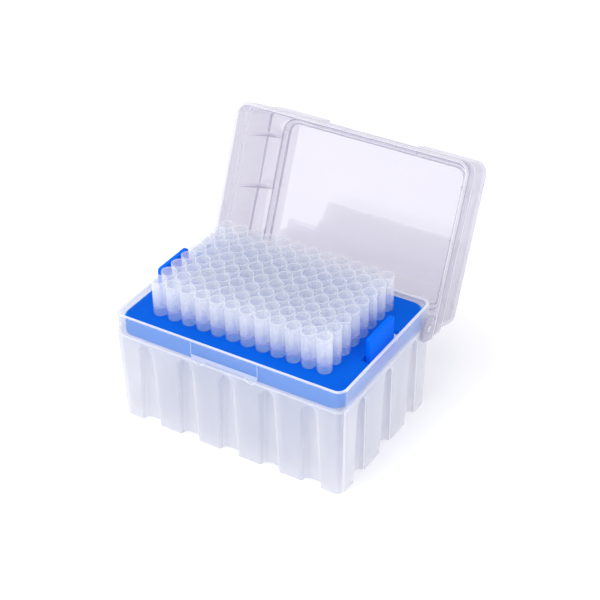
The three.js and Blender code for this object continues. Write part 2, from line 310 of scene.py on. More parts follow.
def groove_rows(grow):
    """Half outline of a groove from its foot to the top of its arch, as (half width, z, normal)."""
    rows = []
    for z in GROOVE_ROW_HEIGHTS:
        half = GROOVE_FOOT_HALF + (GROOVE_HEAD_HALF - GROOVE_FOOT_HALF) * z / GROOVE_SHOULDER_Z
        rows.append((half + grow, z, (1, 0)))
    head = GROOVE_HEAD_HALF + grow
    rise = GROOVE_TOP_Z - GROOVE_SHOULDER_Z + grow
    for step in range(ARCH_STEPS + 1):
        angle = math.pi / 2 * step / ARCH_STEPS
        along = (head * math.cos(angle), GROOVE_SHOULDER_Z + rise * math.sin(angle))
        normal = Vector((math.cos(angle) / head, math.sin(angle) / rise)).normalized()
        rows.append((*along, tuple(normal)))
    rows[-1] = (0, GROOVE_TOP_Z + grow, (0, 1))
    return rows


def groove_section(mouth, root):
    """Columns of one side of a groove: offset from the outline, share of the depth, and extra depth."""
    columns = [(GROOVE_MARGIN, 0, 0)]
    columns += [(across, 0, down) for across, down in fillet(mouth, 3)]
    turned = [(-GROOVE_DRAFT - down, 1, -across) for across, down in fillet(root, 4)[::-1]]
    columns += [(offset, share, extra) for offset, share, extra in sorted(turned, reverse=True)]
    return columns


def wall_half(axis_half, z):
    """Half size of the leaning wall at a height, up to the ledge."""
    foot = axis_half - FOOT_INSET
    return foot + (FOOT_INSET + LEDGE_STEP) * min(z, LEDGE_Z) / LEDGE_Z


def tub_skin(inset, mouth, root, foot_round, upper):
    """Rows of points of the tub's outside or inside, foot to rim, with the flags of its groove strips."""
    walls = (
        ((1, 0), (0, 1), BAND_HALF_X, SIDE_GROOVES, SIDE_GROOVE_PITCH),
        ((0, 1), (-1, 0), BAND_HALF_Y, FRONT_GROOVES, FRONT_GROOVE_PITCH),
        ((-1, 0), (0, -1), BAND_HALF_X, SIDE_GROOVES, SIDE_GROOVE_PITCH),
        ((0, -1), (1, 0), BAND_HALF_Y, FRONT_GROOVES, FRONT_GROOVE_PITCH),
    )
    section = groove_section(mouth, root)
    outline = groove_rows(inset)
    radius = BAND_RADIUS - inset / 2
    rows = []
    strips = []
    for k in range(len(outline) + len(upper)):
        below_top = k < len(outline)
        if below_top:
            half_width, groove_z, normal = outline[k]
            z = groove_z + GROOVE_MARGIN * normal[1]
            push = foot_round * (1 - math.sqrt(1 - (1 - min(z / EDGE_ROUND, 1)) ** 2))
            halves = [wall_half(wall[2], z) - inset - push for wall in walls]
        else:
            z, step = upper[k - len(outline)]
            halves = [wall[2] - inset + step for wall in walls]
        row = []
        marks = []
        for side, (out, along, axis_half, count, pitch) in enumerate(walls):
            half = halves[side]
            for middle in centred(count, pitch):
                for mirror in (-1, 1):
                    ordered = section if mirror < 0 else section[::-1]
                    for offset, share, extra in ordered:
                        u, depth, at_z = middle, 0, z
                        if below_top:
                            bottom = wall_half(axis_half, groove_z) - (axis_half - GROOVE_DEPTH)
                            depth = share * bottom + extra
                            u = middle + mirror * (half_width + offset * normal[0])
                            at_z = groove_z + offset * normal[1]
                            half = wall_half(axis_half, at_z) - inset - push
                        x = out[0] * (half - depth) + along[0] * u
                        y = out[1] * (half - depth) + along[1] * u
                        row.append((x, y, at_z))
                        marks.append(True)
                marks[-1] = False
            start = math.atan2(out[1], out[0])
            corner_x = (halves[0] - radius) * (out[0] + along[0])
            corner_y = (halves[1] - radius) * (out[1] + along[1])
            for step in range(CORNER_STEPS + 1):
                angle = start + math.pi / 2 * step / CORNER_STEPS
                row.append((corner_x + radius * math.cos(angle), corner_y + radius * math.sin(angle), z))
                marks.append(False)
        rows.append(row)
        strips = marks
    return rows, strips, len(outline) - 1


def tub_faces(bm, rows, strips, top, skipped=()):
    """Skin over the rows; the strips of a groove end at the top of its arch."""
    grid = [[bm.verts.new(point) for point in row] for row in rows]
    for k in range(len(grid) - 1):
        if k in skipped:
            continue
        for i, in_groove in enumerate(strips):
            if in_groove and k >= top:
                continue
            j = (i + 1) % len(strips)
            bm.faces.new((grid[k][i], grid[k][j], grid[k + 1][j], grid[k + 1][i]))
    return grid


def tub_shell():
    """Ribbed wall with its rim band and floor, as one closed skin."""
    band = [(LEDGE_Z - 0.35, LEDGE_STEP), (LEDGE_Z - 0.1, LEDGE_STEP - 0.08), (LEDGE_Z, 0.12)]
    band += [(LEDGE_Z + 0.12, 0), (LEDGE_Z + 1, 0)]
    rim = [(RIM_Z - across, -down) for across, down in fillet(EDGE_ROUND, 4)]
    inner_rim = [(z, -step) for z, step in rim]
    outer, strips, top = tub_skin(0, 0.8, 3.0, EDGE_ROUND, band + rim)
    inner, _, _ = tub_skin(WALL, 0.5, 4.2, -EDGE_ROUND, [(GROOVE_TOP_Z + WALL + 1, 0)] + inner_rim)

    bm = bmesh.new()
    outside = tub_faces(bm, outer, strips, top)
    floor_low = next(k for k, row in enumerate(inner) if abs(row[-1][2] - FLOOR_Z + FLOOR_THICKNESS) < 1e-6)
    inside = tub_faces(bm, inner, strips, top, skipped=(floor_low,))
    count = len(strips)
    for low, high, whole in ((outside[0], inside[0], True), (outside[-1], inside[-1], False)):
        for i in range(count):
            if strips[i] and not whole:
                continue
            j = (i + 1) % count
            bm.faces.new((low[i], low[j], high[j], high[i]))
    bm.faces.new(inside[floor_low])
    bm.faces.new(inside[floor_low + 1])
    return as_object(bm, "tub")


def half_disc(radius, steps=16):
    """Lower half of a circle, from its left end to its right."""
    return [(radius * math.cos(a), radius * math.sin(a))
            for a in (math.pi + math.pi * i / steps for i in range(steps + 1))]


def catch(face):
    """Pieces to add for the catch: its bar, two scalloped lips, and the upright lines at its ends."""
    root = CATCH_ROOT - BAND_HALF_Y
    added = [slab(-CATCH_HALF_X, CATCH_HALF_X, face, root, CATCH_LOW_Z, CATCH_TOP_Z, 0.3)]
    for x in (-SCALLOP_X, SCALLOP_X):
        added.append(plate(half_disc(SCALLOP_RADIUS), SCALLOP_THICKNESS, FACING_FRONT,
                           (x, face + SCALLOP_THICKNESS / 2, CATCH_LOW_Z + 0.2)))
    for x in (-CATCH_HALF_X, CATCH_HALF_X):
        added.append(slab(x - CATCH_LINE_HALF, x + CATCH_LINE_HALF, face + 0.03, root,
                          CATCH_TOP_Z - 1, RIM_Z - 1))
    return added


def catch_hollows(face):
    """Pieces to cut from the catch: the slot under its bar and the face of each scallop."""
    cuts = [slab(-CATCH_SLOT_HALF_X, CATCH_SLOT_HALF_X, face - 1, WALL + 0.5 - BAND_HALF_Y,
                 CATCH_LOW_Z - CATCH_SLOT_HEIGHT, CATCH_LOW_Z)]
    for x in (-SCALLOP_X, SCALLOP_X):
        cuts.append(plate(half_disc(SCALLOP_RADIUS - SCALLOP_WALL), SCALLOP_THICKNESS / 2, FACING_FRONT,
                          (x, face, CATCH_LOW_Z - 0.1)))
    return cuts


def hinge_pin(side):
    inner, outer = BAND_HALF_X - WALL / 2, LID_SKIRT_HALF[0] - 0.3
    return rod_x(PIN_RADIUS, side * inner, side * outer, PIVOT_Y, PIVOT_Z)


def tub():
    shell = tub_shell()
    combine(shell, [*catch(CATCH_FACE_Y), hinge_pin(-1), hinge_pin(1)], "UNION")
    return combine(shell, catch_hollows(CATCH_FACE_Y), "DIFFERENCE")

# ---------------------------------------------------------------- lid

def lid_half(z, inset=0.0):
    """Half sizes of the lid's tapered body at a height."""
    share = (z - LID_STEP_Z) / (LID_ROOF_Z - LID_STEP_Z)
    return [body + (roof - body) * share - inset for body, roof in zip(LID_BODY_HALF, LID_ROOF_HALF)]


def lid_shell():
    """Skirt, step, tapered wall, roof and raised panel as one closed skin, built closed."""
    skirt = LID_SKIRT_HALF
    boss_top = LID_ROOF_Z + BOSS_HEIGHT
    rings = []

    def ring(half, z, radius):
        rings.append(corner_arcs(half[0], half[1], max(radius, 0.6), z, 10))

    def edge(half, z, radius, size):
        """Rounds the corner where a flat meets the wall under it."""
        for across, down in fillet(size, 4):
            ring([h - across for h in half], z - down, radius - across)

    boss = [half + WALL for half in BOSS_HALF]
    edge(boss, boss_top, BOSS_RADIUS + WALL, BOSS_EDGE_ROUND)
    for across, down in fillet(BOSS_FOOT_ROUND, 3)[::-1]:
        ring([half + down for half in boss], LID_ROOF_Z + across, BOSS_RADIUS + WALL + down)
    edge(LID_ROOF_HALF, LID_ROOF_Z, LID_RADIUS, ROOF_EDGE_ROUND)
    ring(lid_half(LID_STEP_Z + 0.7), LID_STEP_Z + 0.7, LID_RADIUS)
    ring([half + 0.2 for half in lid_half(LID_STEP_Z)], LID_STEP_Z + 0.12, LID_RADIUS)
    edge(LID_SKIRT_TOP_HALF, LID_STEP_Z, LID_RADIUS, STEP_EDGE_ROUND)
    ring(skirt, LID_EDGE_Z + 0.5, LID_RADIUS)
    ring([half - 0.12 for half in skirt], LID_EDGE_Z + 0.12, LID_RADIUS)
    ring([half - 0.5 for half in skirt], LID_EDGE_Z, LID_RADIUS)
    inside = [EAR_INNER_X, skirt[1] - WALL]
    ring([half + 0.3 for half in inside], LID_EDGE_Z, LID_RADIUS - WALL)
    ring(inside, LID_EDGE_Z + 0.4, LID_RADIUS - WALL)
    ring(inside, RIM_Z + 0.3, LID_RADIUS - WALL)
    ring(lid_half(RIM_Z + 2.0, WALL), RIM_Z + 2.0, LID_RADIUS - WALL)
    under = LID_ROOF_Z - WALL
    for across, down in fillet(ROOF_INNER_ROUND, 4)[::-1]:
        ring([half - down for half in lid_half(under, WALL)], under - across, LID_RADIUS - WALL - down / 2)
    ring([half + 0.4 for half in BOSS_HALF], under, BOSS_RADIUS + 0.4)
    ring(BOSS_HALF, under + 0.4, BOSS_RADIUS)
    for across, down in fillet(BOSS_INNER_ROUND, 3)[::-1]:
        ring([half - down for half in BOSS_HALF], boss_top - WALL - across, BOSS_RADIUS - down)
    return lofted("lid", rings)


def ear(side):
    """Side arm that reaches down past the pivot on the outside of the tub."""
    sweep = [(u, v) for u, v in half_disc(EAR_RADIUS, 32) if abs(u) < EAR_FRONT]
    low = -math.sqrt(EAR_RADIUS ** 2 - EAR_FRONT ** 2)
    rise = LID_EDGE_Z + 1 - PIVOT_Z
    outline = [(-EAR_FRONT, rise), (-EAR_FRONT, low), *sweep, (EAR_FRONT, low), (EAR_FRONT, rise)]
    thickness = LID_SKIRT_HALF[0] - EAR_INNER_X
    return plate(outline, thickness, FACING_RIGHT, (side * (EAR_INNER_X + thickness / 2), PIVOT_Y, PIVOT_Z))


def gusset(side, y):
    """Rib between the side wall, the roof and the raised panel."""
    wall_x, roof_x = (half - WALL / 2 for half in (LID_BODY_HALF[0], LID_ROOF_HALF[0]))
    outline = [(wall_x, LID_STEP_Z), (roof_x, LID_ROOF_Z - WALL / 2), (BOSS_HALF[0], LID_ROOF_Z - WALL / 2),
               (BOSS_HALF[0], LID_ROOF_Z - WALL - 1)]
    turn = Matrix(((side, 0, 0), (0, 0, 1), (0, 1, 0))).to_4x4()
    return plate(outline, GUSSET_THICKNESS, turn, (0, y, 0))


def lid():
    shell = lid_shell()
    face = LID_BODY_HALF[1] - THUMB_DEPTH
    half = THUMB_HALF_X + WALL
    backing = slab(-half, half, -LID_BODY_HALF[1] + 1, WALL - face, THUMB_LOW_Z - WALL, LID_ROOF_Z - 0.7)
    ribs = [gusset(side, y) for side in (-1, 1) for y in (-GUSSET_Y, 0, GUSSET_Y)]
    combine(shell, [ear(-1), ear(1), backing, *ribs], "UNION")
    thumb = slab(-THUMB_HALF_X, THUMB_HALF_X, -60, -face, THUMB_LOW_Z, LID_ROOF_Z + 1)
    swing = rod_x(SWING_CLEARANCE_RADIUS, -EAR_INNER_X, EAR_INNER_X, PIVOT_Y, PIVOT_Z, 96)
    hole = rod_x(PIN_HOLE_RADIUS, -80, 80, PIVOT_Y, PIVOT_Z)
    combine(shell, [thumb, swing, hole], "DIFFERENCE")
    shell.data.transform(Matrix.Translation(PIVOT) @ SWING @ Matrix.Translation(-PIVOT))
    return shell

# ---------------------------------------------------------------- rack

column_x = centred(COLUMNS, PITCH)
row_y = centred(ROWS, PITCH)


def deck_shell(edge):
    """Deck with its bevelled rim and its skirt, open below."""
    bevel_low = DECK_Z - DECK_BEVEL_DROP
    rings = []

    def ring(inset, z, radius):
        rings.append(corner_arcs(edge[0] - inset, edge[1] - inset, radius, z, 10))

    ring(DECK_BEVEL + 0.3, DECK_Z, DECK_RADIUS - 0.3)
    ring(DECK_BEVEL, DECK_Z - 0.08, DECK_RADIUS)
    ring(0.25, bevel_low + 0.12, DECK_RADIUS)
    ring(0, bevel_low - 0.3, DECK_RADIUS)
    ring(0, SKIRT_LOW_Z + 0.3, DECK_RADIUS)
    ring(0.3, SKIRT_LOW_Z, DECK_RADIUS)
    ring(SKIRT_WALL - 0.2, SKIRT_LOW_Z, DECK_RADIUS - SKIRT_WALL)
    ring(SKIRT_WALL, SKIRT_LOW_Z + 0.2, DECK_RADIUS - SKIRT_WALL)
    ring(SKIRT_WALL, DECK_Z - DECK_THICKNESS - 0.5, DECK_RADIUS - SKIRT_WALL)
    ring(SKIRT_WALL + 0.5, DECK_Z - DECK_THICKNESS, DECK_RADIUS - SKIRT_WALL - 0.4)
    return lofted("rack", rings)


def lattice():
    """Block under the deck with a pocket between every four holes."""
    block = lofted("lattice", [corner_arcs(*LATTICE_HALF, LATTICE_RADIUS, z, 6)
                               for z in (LATTICE_LOW_Z, DECK_Z - DECK_THICKNESS / 2)])
    bm = bmesh.new()
    for x in centred(COLUMNS - 1, PITCH):
        for y in centred(ROWS - 1, PITCH):
            rings = []
            for z in (LATTICE_LOW_Z - 1, DECK_Z - DECK_THICKNESS):
                ring = corner_arcs(LATTICE_POCKET_HALF, LATTICE_POCKET_HALF, LATTICE_POCKET_RADIUS, z, 3)
                rings.append([(x + u, y + v, w) for u, v, w in ring])
            loft(bm, rings)
    return combine(block, [as_object(bm, "pockets")], "DIFFERENCE")


def tip_holes():
    """Plugs that cut the 96 holes, each flared at the deck's top."""
    angles = [2 * math.pi * i / RACK_HOLE_SIDES for i in range(RACK_HOLE_SIDES)]
    profile = ((RACK_HOLE_RADIUS, LATTICE_LOW_Z - 1), (RACK_HOLE_RADIUS, DECK_Z - 0.2),
               (RACK_HOLE_RADIUS + 0.35, DECK_Z + 0.15))
    bm = bmesh.new()
    for x in column_x:
        for y in row_y:
            loft(bm, [[(x + r * math.cos(a), y + r * math.sin(a), z) for a in angles] for r, z in profile])
    return as_object(bm, "holes")


def rack():
    edge = (BAND_HALF_X - WALL - DECK_CLEARANCE, BAND_HALF_Y - WALL - DECK_CLEARANCE)
    deck = deck_shell(edge)
    foot = TAB_FOOT_Z - 0.3

    def across(x0, x1, z0, z1):
        """Blocks as wide as the tabs' slots, one at each side."""
        spans = [sorted((side * x0, side * x1)) for side in (-1, 1)]
        return [slab(*span, -TAB_SLOT_HALF_Y, TAB_SLOT_HALF_Y, z0, z1) for span in spans]

    slots = across(TAB_SLOT_INNER_X, BAND_HALF_X, foot, DECK_Z + 1)
    footings = across(TAB_SLOT_INNER_X, edge[0] - SKIRT_WALL / 2, SKIRT_LOW_Z, foot)
    edges = across(TAB_SLOT_INNER_X - SKIRT_WALL, TAB_SLOT_INNER_X, SKIRT_LOW_Z, DECK_Z - 1)
    combine(deck, slots, "DIFFERENCE")
    combine(deck, [lattice()], "UNION")
    combine(deck, [tip_holes()], "DIFFERENCE")
    return combine(deck, [*footings, *edges], "UNION")


def tab(side):
    """Upright spring tab with a rounded head."""
    outline = [(-TAB_HALF_Y, TAB_FOOT_Z), (TAB_HALF_Y, TAB_FOOT_Z)]
    for end in (1, -1):
        centre_y, centre_z = end * (TAB_HALF_Y - TAB_CORNER), TAB_TOP_Z - TAB_CORNER
        first = 0 if end > 0 else math.pi / 2
        for step in range(CORNER_STEPS + 1):
            angle = first + math.pi / 2 * step / CORNER_STEPS
            outline.append((centre_y + TAB_CORNER * math.cos(angle), centre_z + TAB_CORNER * math.sin(angle)))
    thickness = TAB_OUTER_X - TAB_INNER_X
    upright = plate(outline, thickness, FACING_RIGHT, (side * (TAB_INNER_X + thickness / 2), 0, 0))
    bevel = upright.modifiers.new("edges", "BEVEL")
    bevel.width = TAB_EDGE_ROUND
    bevel.segments = 3
    bevel.limit_method = "ANGLE"
    bevel.angle_limit = math.radians(50)
    return combine(upright, [], "UNION")

# ---------------------------------------------------------------- tips

def tip_profile():
    """Closed outline of a tip's wall as (radius, height over the mouth, rib height)."""
    shoulder = DECK_Z - TIP_TOP_Z + 0.03
    wall = (TIP_MOUTH_RADIUS - TIP_MOUTH_BORE) / 2
    lip = []
    for i in range(7):
        angle = math.pi * i / 6
        lip.append((TIP_MOUTH_RADIUS - wall + wall * math.cos(angle), -wall + wall * math.sin(angle), 0))
    outside = [
        (TIP_POINT_RADIUS, -TIP_LENGTH, 0),
        (1.35, -52, 0),
        (2.1, -38, 0),
        (TIP_NECK_RADIUS - 0.2, shoulder - 4, 0),
        (TIP_NECK_RADIUS, shoulder - 0.4, 0),
        (TIP_NECK_RADIUS + 0.05, shoulder, 0),
        (TIP_SHOULDER_RADIUS - 0.35, shoulder, 0),
        (TIP_SHOULDER_RADIUS - 0.2, shoulder + 0.2, 0),
        (TIP_SHOULDER_RADIUS - 0.2, shoulder + 0.8, TIP_RIB_HEIGHT),
        (TIP_SHOULDER_RADIUS - 0.16, -9, TIP_RIB_HEIGHT),
        (TIP_SHOULDER_RADIUS - 0.1, -5, TIP_RIB_HEIGHT * 2 / 3),
        (TIP_SHOULDER_RADIUS - 0.02, -3.2, 0),
        (TIP_MOUTH_RADIUS - 0.06, -2.4, 0),
    ]
    inside = [
        (TIP_MOUTH_BORE - 0.05, -3, 0),
        (3.5, shoulder + 1.4, 0),
        (3.0, shoulder - 0.2, 0),
        (2.7, shoulder - 4.5, 0),
        (1.75, -38, 0),
        (0.95, -52, 0),
        (TIP_POINT_BORE, -TIP_LENGTH, 0),
    ]
    return outside + lip + inside


def add_tip(bm, x, y):
    angles = [2 * math.pi * i / TIP_SIDES for i in range(TIP_SIDES)]
    rings = []
    for radius, z, rib in tip_profile():
        swell = [rib * max(0.0, math.cos(TIP_RIBS * a)) for a in angles]
        rings.append([(x + (radius + s) * math.cos(a), y + (radius + s) * math.sin(a), TIP_TOP_Z + z)
                      for a, s in zip(angles, swell)])
    loft(bm, rings, caps=False, closed=True)


def tips(places):
    bm = bmesh.new()
    for x, y in places:
        add_tip(bm, x, y)
    return as_object(bm, "tips")

# ---------------------------------------------------------------- materials

POLYPROPYLENE_IOR = 1.49
GRAIN_HEIGHT = 0.0001
FLOW_SCALE = 45
GRAIN_SCALE = 2600
RACK_FLOW_SCALE = 30
RACK_GRAIN_SCALE = 3200
GLOSS_HEAD_ON = 0.045
GLOSS_EDGE_ON = 0.4
EDGE_ON_DEPTH = 1.1
LIGHT_THROUGH_BLUE = (0.004, 0.34, 0.98, 1)


def new_material(name):
    material = bpy.data.materials.new(name)
    material.use_nodes = True
    tree = material.node_tree
    tree.nodes.clear()
    return material, tree


def node(tree, kind, **values):
    made = tree.nodes.new(kind)
    for key, value in values.items():
        setattr(made, key, value)
    return made


def noise(tree, scale, detail=3.0, stretch=(1, 1, 1)):
    """Noise over the object's own coordinates; scale is in features per metre."""
    place = node(tree, "ShaderNodeTexCoord")
    spread = node(tree, "ShaderNodeMapping")
    spread.inputs["Scale"].default_value = stretch
    texture = node(tree, "ShaderNodeTexNoise")
    texture.inputs["Scale"].default_value = scale
    texture.inputs["Detail"].default_value = detail
    tree.links.new(place.outputs["Object"], spread.inputs["Vector"])
    tree.links.new(spread.outputs["Vector"], texture.inputs["Vector"])
    return texture.outputs["Fac"]


def ranged(tree, value, low, high, start=0.3, end=0.7):
    """Value spread from start..end to low..high."""
    spread = node(tree, "ShaderNodeMapRange")
    for socket, number in (("From Min", start), ("From Max", end), ("To Min", low), ("To Max", high)):
        spread.inputs[socket].default_value = number
    tree.links.new(value, spread.inputs["Value"])
    return spread.outputs["Result"]


def maths(tree, operation, first, second):
    made = node(tree, "ShaderNodeMath", operation=operation)
    for socket, value in zip(made.inputs, (first, second)):
        if isinstance(value, float):
            socket.default_value = value
        else:
            tree.links.new(value, socket)
    return made.outputs["Value"]


def mixed(tree, factor, first, second):
    """Mix of two shaders; factor is a number or a socket."""
    made = node(tree, "ShaderNodeMixShader")
    if isinstance(factor, float):
        made.inputs["Fac"].default_value = factor
    else:
        tree.links.new(factor, made.inputs["Fac"])
    tree.links.new(first, made.inputs[1])
    tree.links.new(second, made.inputs[2])
    return made.outputs["Shader"]


def tinted(tree, factor, low, high):
    """Colour between two others."""
    ramp = node(tree, "ShaderNodeValToRGB")
    ramp.color_ramp.elements[0].color = (*low, 1)
    ramp.color_ramp.elements[1].color = (*high, 1)
    tree.links.new(factor, ramp.inputs["Fac"])
    return ramp.outputs["Color"]


def along(tree, direction, stops):
    """Value that changes along a direction from the tub's origin, through (place in mm, value) stops."""
    way, start = direction
    place = node(tree, "ShaderNodeTexCoord")
    distance = node(tree, "ShaderNodeVectorMath", operation="DOT_PRODUCT")
    distance.inputs[1].default_value = way
    tree.links.new(place.outputs["Object"], distance.inputs[0])
    origin = way.dot(TUB_CENTRE + start * MM)
    first, last = stops[0][0], stops[-1][0]
    share = ranged(tree, distance.outputs["Value"], 0.0, 1.0, origin + first * MM, origin + last * MM)
    curve = node(tree, "ShaderNodeValToRGB")
    elements = curve.color_ramp.elements
    most = max(value for _, value in stops)
    while len(elements) < len(stops):
        elements.new(0.5)
    for element, (at, value) in zip(elements, stops):
        element.position = (at - first) / (last - first)
        element.color = (value / most, value / most, value / most, 1)
    tree.links.new(share, curve.inputs["Fac"])
    return maths(tree, "MULTIPLY", curve.outputs["Color"], float(most))


def bumped(tree, height, strength):
    """Normals of a fine moulded grain."""
    bump = node(tree, "ShaderNodeBump")
    bump.inputs["Strength"].default_value = strength
    bump.inputs["Distance"].default_value = GRAIN_HEIGHT
    tree.links.new(height, bump.inputs["Height"])
    return bump.outputs["Normal"]


def principled(tree, specular, roughness, normal):
    """Opaque plastic surface whose roughness and normals follow the grain."""
    surface = node(tree, "ShaderNodeBsdfPrincipled")
    surface.inputs["IOR"].default_value = POLYPROPYLENE_IOR
    surface.inputs["Specular IOR Level"].default_value = specular
    tree.links.new(roughness, surface.inputs["Roughness"])
    tree.links.new(normal, surface.inputs["Normal"])
    return surface


def haze_amount(tree, edge_on_square, head_on, edge_on, haze_and_highlight_stops):
    """Share of the light that a face scatters, from where it is and how it is seen. Where milky raises it in
    narrow lines, those lines are painted highlights.
    """
    share = ranged(tree, edge_on_square, head_on, edge_on, 0.0, 1.0)
    for direction, stops in haze_and_highlight_stops:
        share = maths(tree, "MULTIPLY", share, along(tree, direction, stops))
    flow = noise(tree, FLOW_SCALE, 2.0, (1, 1, 0.4))
    return maths(tree, "MULTIPLY", share, ranged(tree, flow, 0.93, 1.07))


def clear_plastic(name, tint, through, haze, edge_haze, roughness, gloss_roughness, relief=0.1,
                  haze_and_highlight_stops=(), painted_highlight=None):
    """Thin natural polypropylene: part of the light goes straight through, the rest is scattered.

    through is the colour let through by one face, haze how much a face seen head on scatters, and
    edge_haze how much one seen edge on does. milky pairs directions with (place in mm, factor) stops;
    the narrow whiter lines that they give the tub and the lid are painted highlights. glow is a painted
    highlight: a colour of the haze, with the direction and stops that fade it to the tint: where their
    value is 0 the haze has that colour, and where it is 1 the tint.
    """
    material, tree = new_material(name)
    fine = noise(tree, GRAIN_SCALE, 2.0)
    normal = bumped(tree, fine, relief)
    facing = node(tree, "ShaderNodeLayerWeight")
    facing.inputs["Blend"].default_value = 0.5
    edge_on = facing.outputs["Facing"]
    square = maths(tree, "POWER", edge_on, 2.0)

    surface = principled(tree, 0.0, ranged(tree, fine, roughness - 0.05, roughness + 0.08), normal)
    surface.inputs["Base Color"].default_value = (*tint, 1)
    behind = node(tree, "ShaderNodeBsdfTranslucent")
    behind.inputs["Color"].default_value = (*tint, 1)
    tree.links.new(normal, behind.inputs["Normal"])
    # Painted highlight: the haze turns whiter along the given lines.
    if painted_highlight:
        painted_highlight_colour = tinted(tree, along(tree, *painted_highlight[1:]), painted_highlight[0], tint)
        tree.links.new(painted_highlight_colour, surface.inputs["Base Color"])
        tree.links.new(painted_highlight_colour, behind.inputs["Color"])
    scattered = mixed(tree, 0.5, surface.outputs["BSDF"], behind.outputs["BSDF"])

    clear = node(tree, "ShaderNodeBsdfTransparent")
    long_way = [value ** EDGE_ON_DEPTH for value in through]
    tree.links.new(tinted(tree, square, through, long_way), clear.inputs["Color"])
    amount = haze_amount(tree, square, haze, edge_haze, haze_and_highlight_stops)
    body = mixed(tree, amount, clear.outputs["BSDF"], scattered)

    mirror = node(tree, "ShaderNodeBsdfGlossy")
    mirror.inputs["Color"].default_value = (1, 1, 1, 1)
    mirror.inputs["Roughness"].default_value = gloss_roughness
    tree.links.new(normal, mirror.inputs["Normal"])
    steep = maths(tree, "POWER", edge_on, 5.0)
    shine = ranged(tree, steep, GLOSS_HEAD_ON, GLOSS_EDGE_ON, 0.0, 1.0)
    whole = mixed(tree, shine, body, mirror.outputs["BSDF"])
    output = node(tree, "ShaderNodeOutputMaterial")
    tree.links.new(whole, output.inputs["Surface"])
    return material


def blended(tree, factor, first, second):
    """Mix of two colours, each a colour or a socket."""
    mix = node(tree, "ShaderNodeMix", data_type="RGBA")
    tree.links.new(factor, mix.inputs["Factor"])
    for socket, colour in ((mix.inputs["A"], first), (mix.inputs["B"], second)):
        if isinstance(colour, tuple):
            socket.default_value = (*colour, 1)
        else:
            tree.links.new(colour, socket)
    return mix.outputs["Result"]


def blue_plastic(name, thick, thin, thin_below, core=None):
    """Satin blue polypropylene with a fine spark-eroded grain and faint flow marks.

    thin is a lighter blue painted under thin_below, in mm: painted light, for the light that comes
    through the thin walls there. core is a still lighter blue, painted light for the still thinner walls
    between the holes there that light comes through, with the directions and stops that fade it in.
    """
    material, tree = new_material(name)
    fine = noise(tree, RACK_GRAIN_SCALE, 2.0)
    mottle = ranged(tree, noise(tree, RACK_FLOW_SCALE, 3.0), 0.0, 1.0)
    low_down = tinted(tree, mottle, *thin)
    if core:
        colour, extent = core
        within = maths(tree, "MULTIPLY", *(along(tree, direction, stops) for direction, stops in extent))
        low_down = blended(tree, within, low_down, colour)
    above = along(tree, UP, ((thin_below, 0.0), (thin_below + 0.4, 1.0)))
    whole = blended(tree, above, low_down, tinted(tree, mottle, *thick))

    surface = principled(tree, 0.04, ranged(tree, fine, 0.42, 0.6), bumped(tree, fine, 0.2))
    tree.links.new(whole, surface.inputs["Base Color"])
    behind = node(tree, "ShaderNodeBsdfTranslucent")
    behind.inputs["Color"].default_value = LIGHT_THROUGH_BLUE
    body = mixed(tree, 0.2, surface.outputs["BSDF"], behind.outputs["BSDF"])
    output = node(tree, "ShaderNodeOutputMaterial")
    tree.links.new(body, output.inputs["Surface"])
    return material

# ---------------------------------------------------------------- camera, floor and light

CAMERA_AZIMUTH = 31.632
CAMERA_ELEVATION = 34.172
CAMERA_ROLL = -0.628
CAMERA_LENS = 93.047
CAMERA_DISTANCE = 0.798828
CAMERA_AIM = (0.015301, -0.031146, 0.074236)
SENSOR_WIDTH = 36
FLOOR_HALF = 6
FLOOR_DROP = 0.0002
FLOOR_SHADES = ((0.93, 0.93, 0.94), (0.96, 0.96, 0.965))
FLOOR_GLOW = 0.1
WORLD_COLOUR = (0.975, 0.978, 1, 1)
WORLD_STRENGTH = 0.8
LIGHTS = (
    ("front", (-0.8, -1.65, 0.5), (0, 0, 0.08), (1.3, 0.9), 9.6),
    ("top", (-0.2, -0.2, 1.6), (0, 0, 0), (1.2, 1.2), 9),
    ("right", (1.7, -0.7, 0.7), (0, 0, 0.05), (1.2, 1.0), 6.8),
)


def camera_axes():
    """Right, up and back directions of the camera."""
    azimuth, elevation, roll = (math.radians(a) for a in (CAMERA_AZIMUTH, CAMERA_ELEVATION, CAMERA_ROLL))
    back = Vector((math.sin(azimuth) * math.cos(elevation), -math.cos(azimuth) * math.cos(elevation),
                   math.sin(elevation)))
    level = Vector((math.cos(azimuth), math.sin(azimuth), 0))
    above = back.cross(level)
    right = math.cos(roll) * level + math.sin(roll) * above
    up = math.cos(roll) * above - math.sin(roll) * level
    return right, up, back


def make_camera():
    data = bpy.data.cameras.new("camera")
    data.lens = CAMERA_LENS
    data.sensor_width = SENSOR_WIDTH
    data.clip_start = 0.05
    data.clip_end = 20
    camera = bpy.data.objects.new("camera", data)
    bpy.context.scene.collection.objects.link(camera)
    right, up, back = camera_axes()
    turn = Matrix((right, up, back)).transposed()
    place = Vector(CAMERA_AIM) + back * CAMERA_DISTANCE
    camera.matrix_world = Matrix.Translation(place) @ turn.to_4x4()
    bpy.context.scene.camera = camera


def area_light(name, place, target, size, energy):
    data = bpy.data.lights.new(name, "AREA")
    data.shape = "RECTANGLE"
    data.size, data.size_y = size
    data.energy = energy
    light = bpy.data.objects.new(name, data)
    bpy.context.scene.collection.objects.link(light)
    light.location = place
    light.rotation_euler = (Vector(target) - Vector(place)).to_track_quat("-Z", "Y").to_euler()


